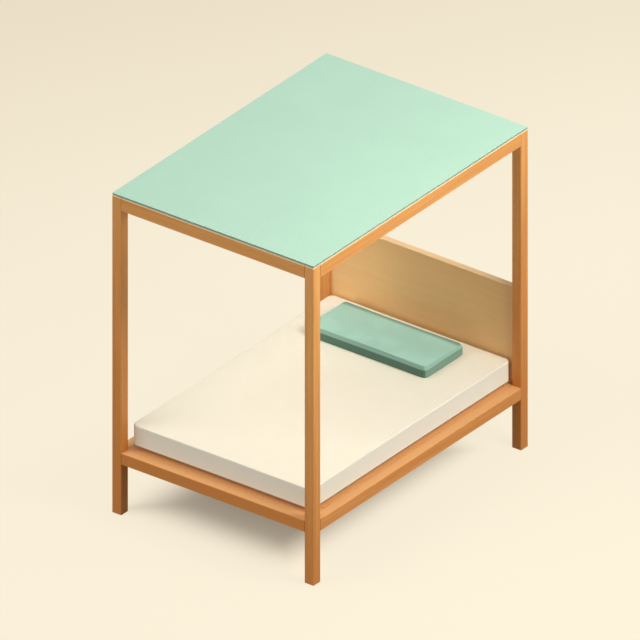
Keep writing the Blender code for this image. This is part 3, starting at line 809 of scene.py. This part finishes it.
def swell(piece, facts, held):
    # cloth under inner pressure: held points stay, and the cap eases off what others move
    scene = bpy.context.scene
    before = readVectors(piece.data.vertices, "co")
    group = piece.vertex_groups.new(name="held")
    group.add(np.flatnonzero(held).tolist(), 1.0, "REPLACE")
    cloth = piece.modifiers.new("cloth", "CLOTH")
    cloth.settings.vertex_group_mass = group.name
    cloth.settings.use_pressure = True
    cloth.settings.uniform_pressure_force = facts["pressure"]
    cloth.settings.effector_weights.gravity = 0.0
    for number in range(1, facts["frames"] + 1):
        scene.frame_set(number)
    swollen = piece.evaluated_get(bpy.context.evaluated_depsgraph_get()).data
    move = readVectors(swollen.vertices, "co") - before
    piece.modifiers.remove(cloth)
    piece.vertex_groups.remove(group)
    scene.frame_set(1)
    length = np.maximum(np.linalg.norm(move, axis=1), tiny)
    kept = facts["cap"] * np.tanh(length / facts["cap"]) / length
    piece.data.vertices.foreach_set("co", (before + move * kept[:, None]).ravel())
    piece.data.update()
    print("pillow swollen: most", round(float(length.max()) * 1000, 1), "mm before the cap")


def pillowFinish(facts, back):
    # a top panel with painted shade in a band along its back edge, a border and a gusset, told apart by
    # the distance from the seam and by how far the normal points to the ends; the border and gusset are
    # painted paler at the ends than at the front and back, as painted light and painted shade
    material, shader, place, threads, slubs, clouds = startCloth("pillowCotton", facts)
    seam = place.add("Attribute", {"attribute_name": "fromSeam"}, None, "Fac")
    onTop = seam.smooth(-facts["seamSoft"], facts["seamSoft"])
    onPanel = seam.smooth(facts["border"] - facts["panelSoft"], facts["border"] + facts["panelSoft"])
    plain = clouds.smooth(facts["litFrom"], facts["litTo"]).mix(facts["top"], facts["topLit"])
    backShadeMask = place.axis("Y").smooth(back - facts["backShadeFrom"], back - facts["backShadeTo"])
    panel = backShadeMask.mix(plain, facts["paintedBackShade"])
    # painted light and shade by facing: ends paler, front and back darker
    endways = facing(place, "X").size()
    gusset = endways.smooth(facts["endFrom"], facts["endTo"]).mix(facts["side"], facts["end"])
    sloping = endways.smooth(facts["endSlopeFrom"], facts["endSlopeTo"])
    slope = sloping.mix(facts["slope"], facts["endSlope"])
    body = onTop.mix(gusset, onPanel.mix(slope, panel))
    shade = (slubs - 0.5) * facts["shadeSlub"] + 0.5 - threads * facts["shadeThread"]
    colour = (shade * facts["shadeShare"]).mix(body, facts["side"])
    fromStitch = (seam.size() - facts["stitchAway"]).size()
    stitch = 1 - fromStitch.smooth(facts["stitchFrom"], facts["stitchTo"])
    roughness = slubs * facts["roughSlub"] + facts["rough"]
    relief = threads * facts["reliefThread"] + slubs * facts["reliefSlub"] - stitch
    dress(shader, place, colour, roughness, relief, facts["reliefDepth"])
    return material


def markSeam(mesh, distances):
    mesh.attributes.new("fromSeam", "FLOAT", "POINT").data.foreach_set("value", distances)


def addCord(facts, cover, ring, middle):
    # a cord along the seam of the top panel: its points in order round the middle, ways square to them
    ring = ring[np.argsort(np.arctan2(ring[:, 1] - middle[1], ring[:, 0] - middle[0]))]
    along = np.roll(ring, -1, axis=0) - np.roll(ring, 1, axis=0)
    ways = np.stack([along[:, 1], -along[:, 0]], -1) / np.hypot(along[:, 0], along[:, 1])[:, None]
    tube = tubeRound(ring[:, :2], ways, ring[:, 2:], facts["cordRadius"], facts["cordRound"])
    cord = makePiece("pillow_cord", *tube, cover)
    markSeam(cord.data, np.full(len(cord.data.vertices), facts["cordSeam"]))
    return cord


def makePillow(facts):
    low, high = boxOf("pillow")
    room = np.array([facts["swellRoom"], facts["swellRoom"], 0.0])
    low, high = low + room, high - room
    points, faces, fromSeam, base = pillowForm(facts, low, high)
    pillow = makePiece("pillow_cover", points, faces, pillowFinish(facts, high[1]))
    swell(pillow, facts, base)
    mesh = pillow.data
    onPanelSeam = np.abs(fromSeam - facts["border"]) < near
    onSeam = (np.abs(fromSeam) < near) | onPanelSeam
    depth = (onSeam * facts["seamDepth"])[:, None]
    sunk = readVectors(mesh.vertices, "co") - readVectors(mesh.vertex_normals, "vector") * depth
    mesh.vertices.foreach_set("co", sunk.ravel())
    markSeam(mesh, fromSeam)
    smooth = pillow.modifiers.new("smooth", "SUBSURF")
    smooth.levels = 1
    smooth.render_levels = 1
    cord = addCord(facts, mesh.materials[0], sunk[onPanelSeam], planOf(low, high)[0])
    for piece in (pillow, cord):
        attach(piece, "pillow")
    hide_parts("pillow")
    print("pillow made")


makePillow(pillowFacts)


# canopy cloth: stretched over the battens, turned down at the edges and hemmed
canopyFacts = dict(
    cornerRadius=0.004,
    edgeRadius=0.0025,
    thickness=0.0014,
    sag=0.004,
    bays=3,
    battenReach=0.048,
    edgeSteps=6, cornerSteps=3, gridSteps=(70, 100, 5),
    hemRadius=0.0013,
    hemSteps=(7, 30),  # points of a corner and of a side
    hemRound=8,
    threadPitch=0.0024, sheen=0.15,
    slubNoise=(160.0, 2.0, 0.6), cloudNoise=(3.0, 2.0, 0.5),
    cloudShare=0.3, slubShare=0.7, threadShare=0.08, toneFrom=0.2, toneTo=0.8,
    light=paint(192, 232, 207),
    dark=paint(184, 223, 199),
    # the hem colour is partly a darker hem, partly painted shade on the upright edges
    hem=paint(134, 160, 142), hemFrom=0.3, hemTo=0.7,  # how upright the cloth is where the hem begins
    rough=0.84, roughSlub=0.1, reliefThread=0.5, reliefSlub=0.5, reliefDepth=0.0005,
)


def canopyForm(facts, low, high):
    # an open tray with round edges; the cloth sags as a parabola across and a wave along each bay
    middle, half = planOf(low, high)
    corner, edge = facts["cornerRadius"], facts["edgeRadius"]
    shoulder = high[2] - edge
    edgeRim = np.linspace(0, edge, facts["edgeSteps"])
    rim = np.concatenate([edgeRim, np.linspace(edge, corner, facts["cornerSteps"])[1:]])
    across, along, upwards = facts["gridSteps"]
    lines = [rimLines(low[0], high[0], rim, across), rimLines(low[1], high[1], rim, along)]
    lines.append(np.concatenate([np.linspace(low[2], shoulder, upwards), shoulder + edgeRim[1:]]))
    places, faces = boxSkin(lines, boxSides[:4] + boxSides[5:])
    core, way, reach = roundPlan(places, middle, half, corner)
    inward, downward = roundOver(reach - (corner - edge), places[:, 2] - shoulder, edge)
    plan = core + way * (reach - inward)[:, None]
    span = half - facts["battenReach"]
    arch = np.clip(1 - (plan[:, 0] / span[0]) ** 2, 0, 1)
    share = np.clip((plan[:, 1] + span[1]) / (2 * span[1]), 0, 1)
    wave = (1 - np.cos(2 * np.pi * share * facts["bays"])) / 2
    rise = places[:, 2] - downward - facts["sag"] * arch * wave
    return np.concatenate([plan + middle, rise[:, None]], -1), faces


def canopyFinish(facts):
    # the hem's darker colour where the cloth hangs upright, told by how far the normal points up; it is
    # partly a darker hem and partly painted shade on the upright edges
    material, shader, place, threads, slubs, clouds = startCloth("canopyCotton", facts)
    field = clouds * facts["cloudShare"] + slubs * facts["slubShare"] - threads * facts["threadShare"]
    body = field.smooth(facts["toneFrom"], facts["toneTo"]).mix(facts["light"], facts["dark"])
    upright = 1 - facing(place, "Z").size()
    colour = upright.smooth(facts["hemFrom"], facts["hemTo"]).mix(body, facts["hem"])
    roughness = slubs * facts["roughSlub"] + facts["rough"]
    relief = threads * facts["reliefThread"] + slubs * facts["reliefSlub"]
    dress(shader, place, colour, roughness, relief, facts["reliefDepth"])
    return material


def makeCanopy(facts):
    low, high = boxOf("canopy_cloth")
    finish = canopyFinish(facts)
    cloth = makePiece("canopy_sheet", *canopyForm(facts, low, high), finish)
    wall = cloth.modifiers.new("thickness", "SOLIDIFY")
    wall.thickness = facts["thickness"]
    wall.offset = -1.0
    path, ways = roundedOutline(*planOf(low, high), facts["cornerRadius"], *facts["hemSteps"])
    height = low[2] + facts["hemRadius"]
    tube = tubeRound(path, ways, height, facts["hemRadius"], facts["hemRound"])
    hem = makePiece("canopy_hem", *tube, finish)
    for piece in (cloth, hem):
        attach(piece, "frame")
    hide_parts("canopy_cloth")
    print("canopy made")


makeCanopy(canopyFacts)


# fittings: zinced bolts and nuts, felt glides, and the screws that hold the slats
fittingFacts = dict(
    zincLight=paint(196, 198, 200), zincDark=paint(150, 153, 158),
    zincNoise=(260.0, 3.0, 0.6), fineNoise=(2400.0, 2.0, 0.6),
    zincFrom=0.35, zincTo=0.65, zincRough=0.25, zincRoughPatch=0.25, zincDepth=0.0001,
    feltLight=paint(112, 107, 100), feltDark=paint(78, 74, 69), feltNoise=(900.0, 4.0, 0.7),
    feltFrom=0.3, feltTo=0.7, feltRough=0.88, feltRoughFibre=0.1, feltDepth=0.0006,
    headRadius=0.0046,
    headRise=0.0009,
    domePower=2.5,
    slotHalf=0.0007,
    slotDepth=0.0007,
    slotReach=0.62, ringFrom=0.12,  # shares of the head's radius
    rings=12, around=48,
    fromSlatEnd=0.018,
)


def zincFinish(facts):
    material, shader, place = startFinish("zincedSteel", Metallic=0.9)
    patches = noise(place, *facts["zincNoise"])
    fine = noise(place, *facts["fineNoise"])
    tone = patches.smooth(facts["zincFrom"], facts["zincTo"])
    colour = tone.mix(facts["zincLight"], facts["zincDark"])
    roughness = patches * facts["zincRoughPatch"] + facts["zincRough"]
    dress(shader, place, colour, roughness, fine, facts["zincDepth"])
    return material


def feltFinish(facts):
    material, shader, place = startFinish("greyFelt", Specular_IOR_Level=0.1, Sheen_Weight=0.3)
    fibres = noise(place, *facts["feltNoise"])
    tone = fibres.smooth(facts["feltFrom"], facts["feltTo"])
    colour = tone.mix(facts["feltDark"], facts["feltLight"])
    roughness = fibres * facts["feltRoughFibre"] + facts["feltRough"]
    dress(shader, place, colour, roughness, fibres, facts["feltDepth"])
    return material


def screwHeads(facts):
    # a low dome over a disc, sunk where a cross is cut; one disc is repeated at every place
    around = facts["around"]
    share = np.linspace(facts["ringFrom"], 1.0, facts["rings"])[:, None]
    turn = np.arange(around) * 2 * np.pi / around
    x = share * facts["headRadius"] * np.cos(turn)
    y = share * facts["headRadius"] * np.sin(turn)
    dome = facts["headRise"] * np.sqrt(np.clip(1 - share ** facts["domePower"], 0, 1))
    inSlot = np.minimum(np.abs(x), np.abs(y)) < facts["slotHalf"]
    z = dome - facts["slotDepth"] * (inSlot & (share < facts["slotReach"]))
    hubPoint = [[0.0, 0.0, facts["headRise"] - facts["slotDepth"]]]
    disc = np.concatenate([hubPoint, np.stack([x, y, z], -1).reshape(-1, 3)])
    ring = np.arange(around)
    ahead = np.roll(ring, -1)
    hub = np.stack([0 * ring, 1 + ring, 1 + ahead], -1)
    rows = np.arange(facts["rings"] - 1)[:, None] * around + 1
    quads = np.stack([rows + ring, rows + around + ring, rows + around + ahead, rows + ahead], -1)
    boxes = [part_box(part["node"]) for part in subparts if part["node"].startswith("slat_")]
    lows, highs = (np.array([tuple(box[end]) for box in boxes]) for end in (0, 1))
    ends = np.stack([lows[:, 0] + facts["fromSlatEnd"], highs[:, 0] - facts["fromSlatEnd"]], -1)
    depth = np.repeat((lows[:, 1] + highs[:, 1])[:, None] / 2, 2, axis=1)
    tops = np.repeat(highs[:, 2:], 2, axis=1)
    spots = np.stack([ends, depth, tops], -1).reshape(-1, 1, 3)
    points = (disc + spots).reshape(-1, 3)
    shift = (np.arange(len(spots)) * len(disc))[:, None, None]
    triangles = (hub + shift).reshape(-1, 3)
    squares = (quads.reshape(1, -1, 4) + shift).reshape(-1, 4)
    return points, triangles.tolist() + squares.tolist()


def makeFittings(facts):
    zinc, felt = zincFinish(facts), feltFinish(facts)
    finishes = dict(zinced_steel=zinc, grey_felt=felt)
    for part in subparts:
        if part["material_slot"] in finishes:
            setMaterial(nodes[part["node"]], finishes[part["material_slot"]])
    points, faces = screwHeads(facts)
    mesh = bpy.data.meshes.new("slat_screws")
    mesh.from_pydata(points.tolist(), [], faces)
    screws = bpy.data.objects.new("slat_screws", mesh)
    bpy.context.scene.collection.objects.link(screws)
    setMaterial(screws, zinc)
    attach(screws, "frame")
    print("fittings dressed")


makeFittings(fittingFacts)

bpy.context.view_layer.update()
